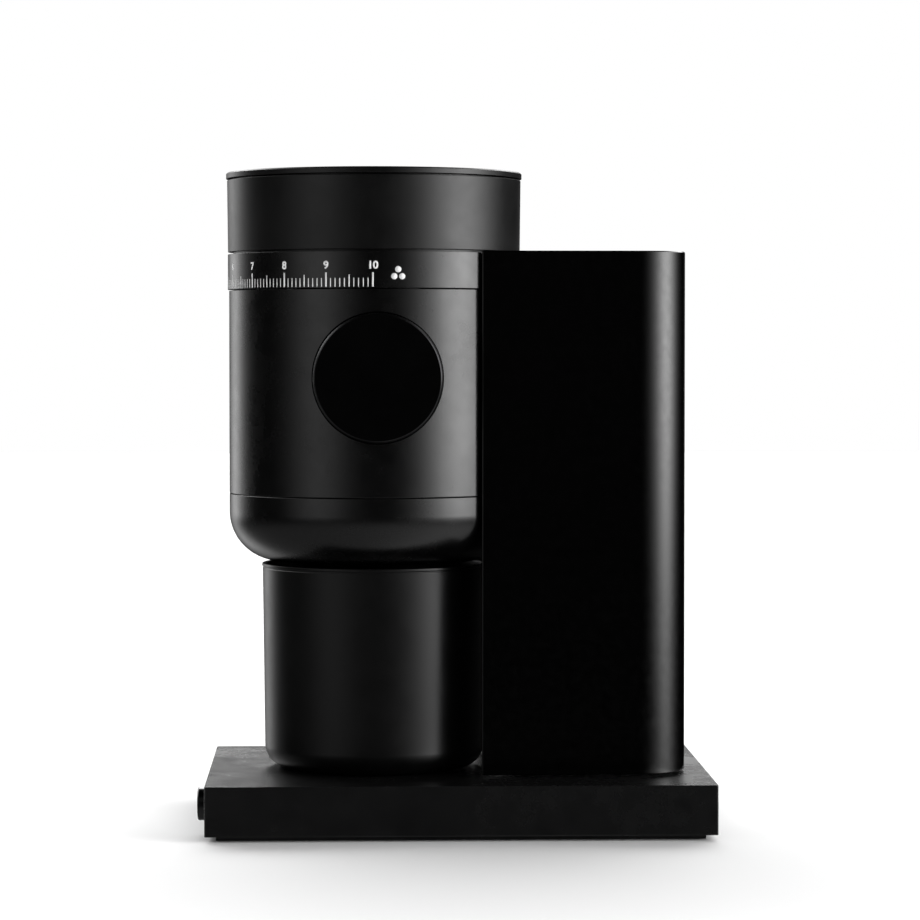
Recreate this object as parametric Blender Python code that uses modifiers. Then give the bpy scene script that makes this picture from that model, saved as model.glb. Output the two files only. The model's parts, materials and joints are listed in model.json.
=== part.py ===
"""Burr coffee grinder: a slab base, a rear tower, and a round head over a catch cup.

Frame: metres, +Z up, origin on the table under the middle of the object. -X is the end with
the power button, +X the tower, and -Y the side with the round knob.
"""

import math

import bmesh
import bpy
from mathutils import Vector

# ---------------------------------------------------------------- driving dimensions (metres)

GAP = 0.0003  # clearance between touching pieces
WALL = 0.0025  # housing wall
THROUGH = 0.01  # how far a cutter runs past the material

# base
BUTTON_PROUD = 0.0046  # how far the power button stands out of the base's end
BASE_SIZE = Vector((0.250, 0.172, 0.0245))
PLINTH_HEIGHT = 0.0027
PLINTH_INSET = 0.0055
PLATE_THICKNESS = 0.0020
BASE_WALL = 0.0030
BASE_EDGE = 0.0006
BASE_X = BUTTON_PROUD / 2  # the button shifts the slab off the middle
BASE_LEFT = BASE_X - BASE_SIZE.x / 2
BASE_RIGHT = BASE_X + BASE_SIZE.x / 2
BASE_SIDE = BASE_SIZE.y / 2
BASE_TOP = PLINTH_HEIGHT + BASE_SIZE.z
BASE_CEILING = BASE_TOP - BASE_WALL
FOOT_R = 0.0080
FOOT_RAISE = 0.0003  # bottom plate over the table
FOOT_INSET = (0.032, 0.022)
BASE_SCREW_INSET = (0.015, 0.013)
BUTTON_R = 0.0082
BUTTON_STEM_R = 0.0030
BUTTON_Y = -0.053
BUTTON_Z = PLINTH_HEIGHT + BASE_SIZE.z / 2
GLAND_X = 0.085
GLAND_R = 0.0060
WIRE_WAY = (0.060, 0.0)
WIRE_HOLE_R = 0.0070

# round head
HEAD_X = -0.0395
HEAD_AXIS = (HEAD_X, 0, 0)
BODY_R = 0.07335
RING_R = 0.07397
HOPPER_BOTTOM_R = 0.0739
HOPPER_TOP_R = 0.0743
LID_R = 0.0748
BOWL_BOTTOM = BASE_TOP + 0.1050
BOWL_TOP = BASE_TOP + 0.1390
BOWL_CORNER = 0.025
BODY_TOP = BASE_TOP + 0.2413
RING_BOTTOM = BODY_TOP + 0.0006
RING_TOP = BASE_TOP + 0.2597
RING_HUB_R = 0.0440
RING_HUB_BOTTOM = 0.247
HOPPER_BOTTOM = RING_TOP + 0.0012
HOPPER_TOP = BASE_TOP + 0.2970
HOPPER_WALL = 0.0021
SPOUT_R = 0.0210
SPOUT_BOTTOM = 0.2630
LID_BOTTOM = HOPPER_TOP + 0.0008
LID_TOP = LID_BOTTOM + 0.0030
LID_SKIRT_R = 0.0704
DETENT_Y = 0.0670
DETENT_R = 0.0020

# catch cup
CUP_RIM_R = 0.0569
CUP_FOOT_R = 0.0554
CUP_CORNER = 0.011
CUP_WALL = 0.0020
CUP_TOP = BASE_TOP + 0.10365

# tower
TOWER_LEFT = 0.0132
TOWER_RIGHT = 0.1158
TOWER_SIDE = 0.0542
TOWER_CORNER = 0.025
TOWER_WALL = 0.0020
TOWER_BOTTOM = BASE_TOP + 0.0013
TOWER_TOP = BASE_TOP + 0.2605
MOUTH_R = 0.0755  # hollow face of the tower, around the head
PANEL_THICKNESS = 0.0022

# round knob
KNOB_X = HEAD_X + 0.0013
KNOB_R = 0.0318
KNOB_Z = BASE_TOP + 0.1979
KNOB_FACE = 0.0821  # distance of the knob's face from the head's axis
KNOB_BACK = 0.0626
KNOB_WEB = 0.0785  # inner side of the knob's face
KNOB_HUB_R = 0.0070
KNOB_BORE_R = 0.0035
STEM_R = 0.0032
RECESS_FRONT, RECESS_BACK = 0.0595, 0.0575  # floor of the pocket behind the knob

# drive frame, motor and belt
SHAFT_R = 0.0040
FRAME_DEPTH = 0.036  # half the shelf's width
SPINE_LEFT, SPINE_RIGHT, SPINE_HALF = 0.1075, 0.1115, 0.024
SHELF_BOTTOM = 0.172
SHELF_TOP = 0.177
WINDOW_TOP, WINDOW_HALF = 0.200, 0.040  # belt window through head and tower
MOTOR_X = 0.074
MOTOR_R = 0.032
MOTOR_BOTTOM = 0.062
MOTOR_WALL = 0.008
BELT_LOW = 0.1834
BELT_HIGH = 0.1906
DRIVEN_R = 0.0200  # belt's inner radius on each pulley
DRIVE_R = 0.0080
BELT_THICKNESS = 0.0020

# fasteners
BORE_R = 0.0018  # clearance bore of the housing screws
FRAME_SCREWS = [(0.050, -0.028), (0.050, 0.028), (0.098, 0.0)]
MOTOR_SCREWS = [(MOTOR_X - 0.016, 0.0), (MOTOR_X + 0.016, 0.0)]
CHAMBER_SCREW_Y = (-0.031, 0.031)
HEAD_HEIGHT = 0.0020
BURR_HOLE_R = 0.0017
BURR_POCKET_R = 0.0030

# grinding chamber, burrs and chute
CHAMBER_R = 0.042
CHAMBER_BORE = 0.037
CHAMBER_BOTTOM = 0.199
CHAMBER_FLOOR = 0.2045
CHAMBER_TOP = 0.243
BEARING_R = 0.0110
BEARING_SEAT_R = 0.0113
ROTOR_R = 0.033
ROTOR_HUB_R = 0.009
LOWER_BURR_BOTTOM = 0.2133
BURR_HEIGHT = 0.0060
BURR_GAP = 0.0013  # widest setting, between the two burrs
BURR_R = 0.029
BURR_BORE = 0.0155
BURR_SCREW_CIRCLE = 0.0225
UPPER_BURR_BOTTOM = LOWER_BURR_BOTTOM + BURR_HEIGHT + BURR_GAP
CARRIER_BOTTOM = UPPER_BURR_BOTTOM + BURR_HEIGHT + GAP
CARRIER_TOP = 0.262
CHUTE_X = -0.092
CHUTE_EXIT_X = -0.070
CHUTE_HALF = 0.0075
CHUTE_TOP = 0.223
CHUTE_BEND = 0.198

BIG_STEPS, MIDDLE_STEPS, SMALL_STEPS, SCREW_STEPS = 40, 28, 12, 8

# finish: linear base colour, roughness, metallic
FINISHES = {
    "satin_black": ((0.012, 0.012, 0.013, 1), 0.38, 0.0),
    "gloss_black": ((0.006, 0.006, 0.007, 1), 0.12, 0.0),
    "matte_black": ((0.010, 0.010, 0.010, 1), 0.62, 0.0),
    "knob_black": ((0.014, 0.014, 0.015, 1), 0.50, 0.6),
    "rubber": ((0.015, 0.015, 0.015, 1), 0.85, 0.0),
    "steel": ((0.55, 0.56, 0.58, 1), 0.30, 1.0),
    "aluminium": ((0.72, 0.73, 0.75, 1), 0.42, 1.0),
    "white_plastic": ((0.75, 0.75, 0.72, 1), 0.45, 0.0),
    "board_green": ((0.02, 0.10, 0.05, 1), 0.40, 0.0),
}

# ---------------------------------------------------------------- scene and helpers


def clear_scene():
    for obj in list(bpy.data.objects):
        bpy.data.objects.remove(obj)


def new_collection(name):
    collection = bpy.data.collections.new(name)
    bpy.context.scene.collection.children.link(collection)
    return collection


clear_scene()
PARTS = new_collection("burr_coffee_grinder")
CUTTERS = new_collection("cutters")


def place(name, mesh, location=(0, 0, 0), finish=None, rotation=(0, 0, 0)):
    """An object with its own material; without a finish it is a cutter."""
    obj = bpy.data.objects.new(name, mesh)
    obj.location = location
    obj.rotation_euler = rotation
    if finish is None:
        CUTTERS.objects.link(obj)
        obj.hide_render = True
        obj.display_type = "WIRE"
        return obj
    PARTS.objects.link(obj)
    colour, roughness, metallic = FINISHES[finish]
    material = bpy.data.materials.new(f"{name}_{finish}")
    material.use_nodes = True
    shader = material.node_tree.nodes["Principled BSDF"]
    shader.inputs["Base Color"].default_value = colour
    shader.inputs["Roughness"].default_value = roughness
    shader.inputs["Metallic"].default_value = metallic
    mesh.materials.append(material)
    return obj


def mesh_of(name, shape):
    mesh = bpy.data.meshes.new(name)
    shape.to_mesh(mesh)
    shape.free()
    return mesh


def box(name, low, high, finish=None, bevel=0.0):
    shape = bmesh.new()
    bmesh.ops.create_cube(shape, size=1.0)
    low, high = Vector(low), Vector(high)
    bmesh.ops.scale(shape, vec=high - low, verts=shape.verts)
    obj = place(name, mesh_of(name, shape), (low + high) / 2, finish)
    if bevel:
        round_edges(obj, bevel)
    return obj


def round_edges(obj, width, segments=2):
    modifier = obj.modifiers.new("rounded_edges", "BEVEL")
    modifier.width = width
    modifier.segments = segments
    modifier.limit_method = "ANGLE"
    modifier.angle_limit = math.radians(50)


def rod(name, radius, start, end, finish=None, steps=SMALL_STEPS):
    """A round bar from start to end."""
    start, end = Vector(start), Vector(end)
    shape = bmesh.new()
    bmesh.ops.create_cone(
        shape, cap_ends=True, segments=steps, radius1=radius, radius2=radius,
        depth=(end - start).length,
    )
    mesh = mesh_of(name, shape)
    mesh.shade_smooth()
    mesh.set_sharp_from_angle(angle=math.radians(40))
    turn = Vector((0, 0, 1)).rotation_difference(end - start).to_euler()
    return place(name, mesh, (start + end) / 2, finish, turn)


def turned(name, profile, location, finish=None, steps=BIG_STEPS, closed=True, rotation=(0, 0, 0)):
    """A lathe shape. The profile is (radius, height) points that run down the outer side."""
    shape = bmesh.new()
    points = [shape.verts.new((radius, 0, height)) for radius, height in profile]
    for first, second in zip(points, points[1:]):
        shape.edges.new((first, second))
    if closed:
        shape.edges.new((points[-1], points[0]))
    obj = place(name, mesh_of(name, shape), location, finish, rotation)
    modifier = obj.modifiers.new("lathe", "SCREW")
    modifier.axis = "Z"
    modifier.steps = modifier.render_steps = steps
    modifier.use_merge_vertices = True
    modifier.merge_threshold = 1e-5
    modifier.use_smooth_shade = True
    return obj


def arc(centre_x, centre_y, radius, start, end, steps):
    """Points along an arc; the angles are in degrees."""
    angles = [math.radians(start + (end - start) * i / steps) for i in range(steps + 1)]
    return [(centre_x + radius * math.cos(a), centre_y + radius * math.sin(a)) for a in angles]


def wall_along(name, path, low, high, thickness, finish):
    """An upright wall on an open path seen from above, thickened to the right of its direction."""
    shape = bmesh.new()
    points = [shape.verts.new((x, y, low)) for x, y in path]
    edges = [shape.edges.new(pair) for pair in zip(points, points[1:])]
    raised = bmesh.ops.extrude_edge_only(shape, edges=edges)["geom"]
    upper = [item for item in raised if isinstance(item, bmesh.types.BMVert)]
    bmesh.ops.translate(shape, vec=(0, 0, high - low), verts=upper)
    bmesh.ops.recalc_face_normals(shape, faces=shape.faces)
    obj = place(name, mesh_of(name, shape), (0, 0, 0), finish)
    modifier = obj.modifiers.new("thickness", "SOLIDIFY")
    modifier.thickness = abs(thickness)
    modifier.offset = math.copysign(1, thickness)
    modifier.use_even_offset = True
    return obj


def outline_mesh(name, loops, thickness):
    """A flat plate, centred on its plane, from closed outlines; a loop inside another is a hole."""
    curve = bpy.data.curves.new(name, "CURVE")
    curve.dimensions = "2D"
    curve.fill_mode = "BOTH"
    curve.extrude = thickness / 2
    for loop in loops:
        spline = curve.splines.new("POLY")
        spline.points.add(len(loop) - 1)
        for point, (x, y) in zip(spline.points, loop):
            point.co = (x, y, 0, 1)
        spline.use_cyclic_u = True
    guide = bpy.data.objects.new(name + "_outline", curve)
    CUTTERS.objects.link(guide)
    graph = bpy.context.evaluated_depsgraph_get()
    mesh = bpy.data.meshes.new_from_object(guide.evaluated_get(graph))
    bpy.data.objects.remove(guide)
    shape = bmesh.new()
    shape.from_mesh(mesh)
    bmesh.ops.remove_doubles(shape, verts=shape.verts, dist=1e-6)
    bmesh.ops.recalc_face_normals(shape, faces=shape.faces)
    return mesh_of(name, shape)


def plate(name, loops, low, high, finish=None):
    """A flat plate lying at a height, from outlines seen from above."""
    return place(name, outline_mesh(name, loops, high - low), (0, 0, (low + high) / 2), finish)


def coil(name, radius, wire, start, end, turns, finish, points_per_turn=10):
    """A compression spring from start to end, both on its axis."""
    start, end = Vector(start), Vector(end)
    curve = bpy.data.curves.new(name, "CURVE")
    curve.dimensions = "3D"
    curve.bevel_depth = wire
    curve.bevel_resolution = 1
    curve.use_fill_caps = True
    count = turns * points_per_turn
    spline = curve.splines.new("POLY")
    spline.points.add(count)
    length = (end - start).length
    for i, point in enumerate(spline.points):
        angle = 2 * math.pi * i / points_per_turn
        height = length * i / count
        point.co = (radius * math.cos(angle), radius * math.sin(angle), height, 1)
    turn = Vector((0, 0, 1)).rotation_difference(end - start).to_euler()
    return place(name, curve, start, finish, turn)


def boolean(obj, tool, operation):
    modifier = obj.modifiers.new(f"{operation.lower()}_{tool.name}", "BOOLEAN")
    modifier.operation = operation
    modifier.solver = "EXACT"
    modifier.object = tool


def cut(obj, *tools):
    for tool in tools:
        boolean(obj, tool, "DIFFERENCE")


def join(obj, *tools):
    for tool in tools:
        boolean(obj, tool, "UNION")


def screw(name, x, y, head_low, head_high, tip, head_r=0.0030, shank_r=0.0015):
    """A cap screw; its tip may lie above its head or below it."""
    if tip > head_high:
        profile = [(0, tip), (shank_r, tip), (shank_r, head_high), (head_r, head_high),
                   (head_r, head_low), (0, head_low)]
    else:
        profile = [(0, head_high), (head_r, head_high), (head_r, head_low), (shank_r, head_low),
                   (shank_r, tip), (0, tip)]
    return turned(name, profile, (x, y, 0), "steel", SCREW_STEPS, closed=False)


def hang_on(parent, *children):
    """Parents each child and keeps it where it is."""
    bpy.context.view_layer.update()
    for child in children:
        child.parent = parent
        child.matrix_parent_inverse = parent.matrix_world.inverted()

# ---------------------------------------------------------------- base


def corner_places(inset_x, inset_y):
    return [(BASE_X + sx * (BASE_SIZE.x / 2 - inset_x), sy * (BASE_SIDE - inset_y))
            for sx in (-1, 1) for sy in (-1, 1)]


def make_base():
    shell = box("base_shell", (BASE_LEFT, -BASE_SIDE, PLINTH_HEIGHT),
                (BASE_RIGHT, BASE_SIDE, BASE_TOP), "satin_black", bevel=BASE_EDGE)
    cut(shell, box("base_hollow", (BASE_LEFT + BASE_WALL, -BASE_SIDE + BASE_WALL, -THROUGH),
                   (BASE_RIGHT - BASE_WALL, BASE_SIDE - BASE_WALL, BASE_CEILING)))
    for i, (x, y) in enumerate(corner_places(*BASE_SCREW_INSET), 1):
        boss = rod(f"base_boss_{i}", 0.0042, (x, y, 0.0053), (x, y, BASE_CEILING + 0.001))
        join(shell, boss)
        cut(shell, rod(f"base_boss_bore_{i}", BORE_R, (x, y, 0.0), (x, y, 0.018), steps=SCREW_STEPS))
        screw(f"base_screw_{i}", x, y, 0.0009, 0.0023, 0.0155)
    cut(shell, rod("button_hole", BUTTON_R + GAP, (BASE_LEFT - THROUGH, BUTTON_Y, BUTTON_Z),
                   (BASE_LEFT + THROUGH, BUTTON_Y, BUTTON_Z), steps=24))
    cut(shell, rod("gland_hole", GLAND_R + GAP, (GLAND_X, BASE_SIDE - THROUGH, BUTTON_Z),
                   (GLAND_X, BASE_SIDE + THROUGH, BUTTON_Z)))
    cut(shell, rod("wire_hole", WIRE_HOLE_R, (*WIRE_WAY, BASE_CEILING - THROUGH),
                   (*WIRE_WAY, BASE_TOP + THROUGH)))
    for i, (x, y) in enumerate(FRAME_SCREWS, 1):
        cut(shell, rod(f"frame_screw_hole_{i}", BORE_R + 0.0001, (x, y, BASE_CEILING - THROUGH),
                       (x, y, BASE_TOP + THROUGH), steps=SCREW_STEPS))


def make_bottom_plate():
    """The recessed plinth: a flange inside the shell over a smaller foot plate."""
    half = BASE_SIZE.x / 2 - BASE_WALL - 0.0004
    side = BASE_SIDE - BASE_WALL - 0.0004
    low = PLINTH_HEIGHT + 0.0002
    bottom = box("bottom_plate", (BASE_X - half, -side, low),
                 (BASE_X + half, side, low + PLATE_THICKNESS), "matte_black")
    half = BASE_SIZE.x / 2 - PLINTH_INSET
    side = BASE_SIDE - PLINTH_INSET
    join(bottom, box("plinth", (BASE_X - half, -side, FOOT_RAISE),
                     (BASE_X + half, side, PLINTH_HEIGHT + 0.0010)))
    pocket_top = 0.0026
    for i, (x, y) in enumerate(corner_places(*FOOT_INSET), 1):
        cut(bottom, rod(f"foot_pocket_{i}", FOOT_R + GAP, (x, y, -THROUGH), (x, y, pocket_top)))
        rod(f"rubber_foot_{i}", FOOT_R, (x, y, 0), (x, y, pocket_top - GAP), "rubber")
    for i, (x, y) in enumerate(corner_places(*BASE_SCREW_INSET), 1):
        cut(bottom, rod(f"screw_pocket_{i}", 0.0035, (x, y, -THROUGH), (x, y, pocket_top), steps=12),
            rod(f"screw_hole_{i}", BORE_R + 0.0001, (x, y, -THROUGH), (x, y, THROUGH),
                steps=SCREW_STEPS))


def make_power_switch():
    end, back, stem_end = 0.1273, 0.1205, 0.1120  # measured towards the left
    button = [(0, end), (0.0062, end - 0.0001), (0.0076, end - 0.0004), (BUTTON_R, end - 0.0010),
              (BUTTON_R, back), (BUTTON_STEM_R, back), (BUTTON_STEM_R, stem_end), (0, stem_end)]
    turned("power_button", button, (0, BUTTON_Y, BUTTON_Z), "gloss_black", 20, closed=False,
           rotation=(0, -math.pi / 2, 0))
    body = box("power_switch_body", (-0.1165, BUTTON_Y - 0.009, BUTTON_Z - 0.0085),
               (-0.0980, BUTTON_Y + 0.009, BUTTON_Z + 0.0085), "white_plastic")
    cut(body, rod("switch_bore", BUTTON_STEM_R + 0.0004, (-0.130, BUTTON_Y, BUTTON_Z),
                  (-0.1075, BUTTON_Y, BUTTON_Z), steps=12))


def make_electronics():
    board = box("control_board", (-0.088, -0.060, 0.0085), (-0.012, 0.020, 0.0101), "board_green")
    join(board,
         box("mains_filter", (-0.082, -0.050, 0.0095), (-0.060, -0.028, 0.0215)),
         box("relay", (-0.050, -0.052, 0.0095), (-0.034, -0.034, 0.0205)),
         box("heat_sink", (-0.040, 0.000, 0.0095), (-0.016, 0.012, 0.0215)),
         rod("board_capacitor", 0.0065, (-0.070, 0.004, 0.0095), (-0.070, 0.004, 0.0220)))
    sleeve = [(GLAND_R, 0.0860), (GLAND_R, 0.0824), (0.0085, 0.0824), (0.0085, 0.0790),
              (GLAND_R, 0.0760), (0.0033, 0.0760), (0.0033, 0.0860)]
    turned("cord_gland", sleeve, (GLAND_X, 0, BUTTON_Z), "rubber", SMALL_STEPS,
           rotation=(-math.pi / 2, 0, 0))


# ---------------------------------------------------------------- tower and drive frame


def tower_outline(inset):
    """The U of the tower's side and rear walls, from one free edge round to the other."""
    side, right, radius = TOWER_SIDE - inset, TOWER_RIGHT - inset, TOWER_CORNER - inset
    return ([(TOWER_LEFT, -side)]
            + arc(right - radius, radius - side, radius, -90, 0, 7)
            + arc(right - radius, side - radius, radius, 0, 90, 7)
            + [(TOWER_LEFT, side)])


def make_tower():
    wall_along("tower_shell", tower_outline(0), TOWER_BOTTOM, TOWER_TOP, -TOWER_WALL, "gloss_black")
    top = plate("tower_top", [tower_outline(TOWER_WALL + GAP)], TOWER_TOP - WALL, TOWER_TOP,
                "gloss_black")
    back_of_mouth = MOUTH_R + PANEL_THICKNESS
    cut(top, rod("mouth_round", back_of_mouth + GAP, (HEAD_X, 0, TOWER_TOP - THROUGH),
                 (HEAD_X, 0, TOWER_TOP + THROUGH), steps=64))
    swing = math.degrees(math.asin((TOWER_SIDE - TOWER_WALL - 0.0004) / back_of_mouth))
    panel = wall_along("tower_mouth_panel", arc(HEAD_X, 0, MOUTH_R, -swing, swing, 12),
                       TOWER_BOTTOM + 0.0001, TOWER_TOP - GAP, PANEL_THICKNESS, "matte_black")
    cut(panel, box("panel_window", (0.0, -WINDOW_HALF, SHELF_BOTTOM - 0.004),
                   (0.060, WINDOW_HALF, WINDOW_TOP)))


def make_drive_frame():
    """Foot plate on the base, a spine up the tower, and the shelf that carries motor and head."""
    frame = box("drive_frame", (-0.062, -FRAME_DEPTH, SHELF_BOTTOM),
                (SPINE_RIGHT, FRAME_DEPTH, SHELF_TOP), "aluminium")
    foot_low = BASE_TOP + GAP
    foot_top = foot_low + 0.005
    under_shelf, over_shelf = SHELF_BOTTOM - THROUGH, SHELF_TOP + THROUGH
    cut(frame,
        box("shelf_corner_front", (SPINE_LEFT - 0.0015, -0.040, under_shelf),
            (0.130, -SPINE_HALF, over_shelf)),
        box("shelf_corner_rear", (SPINE_LEFT - 0.0015, SPINE_HALF, under_shelf),
            (0.130, 0.040, over_shelf)))
    join(frame,
         box("spine", (SPINE_LEFT, -SPINE_HALF, foot_low + 0.001),
             (SPINE_RIGHT, SPINE_HALF, SHELF_TOP - 0.001)),
         box("frame_foot", (0.042, -0.038, foot_low), (0.1090, 0.038, foot_top)))
    cut(frame,
        rod("lower_bearing_seat", BEARING_SEAT_R, (HEAD_X, 0, under_shelf), (HEAD_X, 0, over_shelf),
            steps=SMALL_STEPS),
        rod("motor_shaft_hole", 0.0065, (MOTOR_X, 0, under_shelf), (MOTOR_X, 0, over_shelf), steps=12),
        rod("foot_wire_hole", WIRE_HOLE_R, (*WIRE_WAY, foot_low - THROUGH),
            (*WIRE_WAY, foot_top + THROUGH), steps=12))
    for i, (x, y) in enumerate(FRAME_SCREWS, 1):
        cut(frame, rod(f"frame_foot_bore_{i}", BORE_R, (x, y, foot_low - THROUGH),
                       (x, y, foot_top + THROUGH), steps=SCREW_STEPS))
        seat = BASE_CEILING - GAP
        screw(f"frame_screw_{i}", x, y, seat - HEAD_HEIGHT, seat, foot_top - 0.0005)
    shelf_screws = MOTOR_SCREWS + [(HEAD_X, y) for y in CHAMBER_SCREW_Y]
    for i, (x, y) in enumerate(shelf_screws, 1):
        cut(frame, rod(f"shelf_screw_hole_{i}", BORE_R, (x, y, under_shelf), (x, y, over_shelf),
                       steps=SCREW_STEPS))


# ---------------------------------------------------------------- motor and belt drive


def make_motor():
    top = SHELF_BOTTOM - GAP
    bore, inner = SHAFT_R + 0.0004, MOTOR_R - 0.005
    floor, ceiling = MOTOR_BOTTOM + MOTOR_WALL, top - 0.012
    can = [(MOTOR_R, top), (MOTOR_R, MOTOR_BOTTOM), (bore, MOTOR_BOTTOM), (bore, floor),
           (inner, floor), (inner, ceiling), (bore, ceiling), (bore, top)]
    housing = turned("motor_housing", can, (MOTOR_X, 0, 0), "steel", 24)
    for i, (x, y) in enumerate(MOTOR_SCREWS, 1):
        cut(housing, rod(f"motor_bore_{i}", BORE_R, (x, y, top - 0.009), (x, y, top + THROUGH),
                         steps=SCREW_STEPS))
        screw(f"motor_screw_{i}", x, y, SHELF_TOP + GAP, SHELF_TOP + GAP + HEAD_HEIGHT, top - 0.008)
    core_r, core_low, core_high = 0.024, floor + 0.008, ceiling - 0.010
    shaft_low, shaft_high = MOTOR_BOTTOM - 0.004, 0.1945
    rotor = [(0, shaft_high), (SHAFT_R, shaft_high), (SHAFT_R, core_high), (core_r, core_high),
             (core_r, core_low), (SHAFT_R, core_low), (SHAFT_R, shaft_low), (0, shaft_low)]
    rotor = turned("motor_rotor", rotor, (MOTOR_X, 0, 0), "steel", SMALL_STEPS, closed=False)
    hang_on(rotor, make_pulley("drive_pulley", DRIVE_R, MOTOR_X))


def make_pulley(name, belt_r, x):
    low, high = BELT_LOW - 0.0004, BELT_HIGH + 0.0004
    flange, bottom, top = belt_r + 0.0030, low - 0.002, high + 0.002
    profile = [(flange, top), (flange, high), (belt_r - GAP, high), (belt_r - GAP, low),
               (flange, low), (flange, bottom), (SHAFT_R + GAP, bottom), (SHAFT_R + GAP, top)]
    return turned(name, profile, (x, 0, 0), "aluminium", 20)


def belt_loop(driven, drive):
    """Arcs round both pulleys, joined by the outer tangents."""
    lean = math.degrees(math.asin((driven - drive) / (MOTOR_X - HEAD_X)))
    return (arc(HEAD_X, 0, driven, 90 - lean, 270 + lean, 14)
            + arc(MOTOR_X, 0, drive, lean - 90, 90 - lean, 8))


def make_belt():
    loops = [belt_loop(DRIVEN_R + BELT_THICKNESS, DRIVE_R + BELT_THICKNESS),
             belt_loop(DRIVEN_R, DRIVE_R)]
    plate("drive_belt", loops, BELT_LOW, BELT_HIGH, "rubber")


# ---------------------------------------------------------------- grinding parts


def burr_screw_places(phase):
    return [(HEAD_X + BURR_SCREW_CIRCLE * math.cos(a), BURR_SCREW_CIRCLE * math.sin(a))
            for a in (math.radians(phase + 120 * i) for i in range(3))]


def make_lower_burr():
    """Shaft, belt wheel, rotor disc with its wipers, and the burr that turns."""
    shaft = rod("burr_shaft", SHAFT_R, (HEAD_X, 0, 0.1705), (HEAD_X, 0, 0.2212), "steel")
    wheel = make_pulley("driven_pulley", DRIVEN_R, HEAD_X)
    top = LOWER_BURR_BOTTOM - GAP
    bore = SHAFT_R + GAP
    under, hub_low, hub_high = 0.2080, 0.2062, 0.2165
    disc = [(ROTOR_R, top), (ROTOR_R, under), (ROTOR_HUB_R, under), (ROTOR_HUB_R, hub_low),
            (bore, hub_low), (bore, hub_high), (ROTOR_HUB_R, hub_high), (ROTOR_HUB_R + 0.003, top)]
    rotor = turned("burr_rotor", disc, HEAD_AXIS, "aluminium", 24)
    for i in range(3):
        blade = box(f"wiper_{i + 1}", (0.026, -0.0015, 0.2055), (0.0362, 0.0015, 0.2115))
        turn = math.radians(120 * i + 30)
        centre = Vector((math.cos(turn), math.sin(turn), 0)) * 0.0311
        blade.location = Vector((HEAD_X, 0, blade.location.z)) + centre
        blade.rotation_euler.z = turn
        join(rotor, blade)
    burr_top = LOWER_BURR_BOTTOM + BURR_HEIGHT
    section = [(BURR_R - 0.002, burr_top), (BURR_R, burr_top - 0.0012), (BURR_R, LOWER_BURR_BOTTOM),
               (BURR_BORE, LOWER_BURR_BOTTOM), (BURR_BORE, burr_top - 0.0025), (0.021, burr_top)]
    burr = turned("lower_burr", section, HEAD_AXIS, "steel", MIDDLE_STEPS)
    nut = rod("rotor_nut", 0.0068, (HEAD_X, 0, 0.2168), (HEAD_X, 0, 0.2205), "steel", steps=6)
    cut(nut, rod("nut_bore", bore, (HEAD_X, 0, 0.21), (HEAD_X, 0, 0.23), steps=SMALL_STEPS))
    hang_on(shaft, wheel, rotor, burr, nut)
    for i, (x, y) in enumerate(burr_screw_places(90), 1):
        cut(burr, rod(f"lower_head_pocket_{i}", BURR_POCKET_R, (x, y, burr_top - 0.0035),
                      (x, y, burr_top + THROUGH), steps=12))
        hole = rod(f"lower_burr_hole_{i}", BURR_HOLE_R, (x, y, under + 0.0015),
                   (x, y, burr_top + THROUGH), steps=SCREW_STEPS)
        cut(burr, hole)
        cut(rotor, hole)
        hang_on(shaft, screw(f"lower_burr_screw_{i}", x, y, burr_top - 0.0032, burr_top - 0.0014,
                             0.2098, head_r=0.0027, shank_r=0.0014))


def make_upper_burr():
    """The burr that stands still, and its carrier, which the adjusting ring screws up and down."""
    top = UPPER_BURR_BOTTOM + BURR_HEIGHT
    threaded_r, sleeve_r, throat_r, step = 0.0383, 0.0366, 0.0240, 0.248
    body = [(threaded_r, CARRIER_TOP), (threaded_r, step), (sleeve_r, step),
            (sleeve_r, CARRIER_BOTTOM), (BURR_BORE, CARRIER_BOTTOM), (BURR_BORE, 0.236),
            (throat_r, 0.256), (throat_r, CARRIER_TOP)]
    carrier = turned("burr_carrier", body, HEAD_AXIS, "aluminium", MIDDLE_STEPS)
    section = [(BURR_R, top), (BURR_R, UPPER_BURR_BOTTOM + 0.0012),
               (BURR_R - 0.002, UPPER_BURR_BOTTOM), (0.021, UPPER_BURR_BOTTOM),
               (BURR_BORE, UPPER_BURR_BOTTOM + 0.0025), (BURR_BORE, top)]
    burr = turned("upper_burr", section, HEAD_AXIS, "steel", MIDDLE_STEPS)
    hang_on(carrier, burr)
    for i, (x, y) in enumerate(burr_screw_places(30), 1):
        cut(burr, rod(f"upper_head_pocket_{i}", BURR_POCKET_R, (x, y, UPPER_BURR_BOTTOM - THROUGH),
                      (x, y, UPPER_BURR_BOTTOM + 0.0035), steps=12))
        hole = rod(f"upper_burr_hole_{i}", BURR_HOLE_R, (x, y, UPPER_BURR_BOTTOM - 0.0055),
                   (x, y, 0.2345), steps=SCREW_STEPS)
        cut(burr, hole)
        cut(carrier, hole)
        hang_on(carrier, screw(f"upper_burr_screw_{i}", x, y, UPPER_BURR_BOTTOM + 0.0014,
                               UPPER_BURR_BOTTOM + 0.0032, 0.2338, head_r=0.0027, shank_r=0.0014))


def make_bearing(name, low, high):
    section = [(BEARING_R, high), (BEARING_R, low), (SHAFT_R + GAP, low), (SHAFT_R + GAP, high)]
    turned(name, section, HEAD_AXIS, "steel", SMALL_STEPS)


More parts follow.
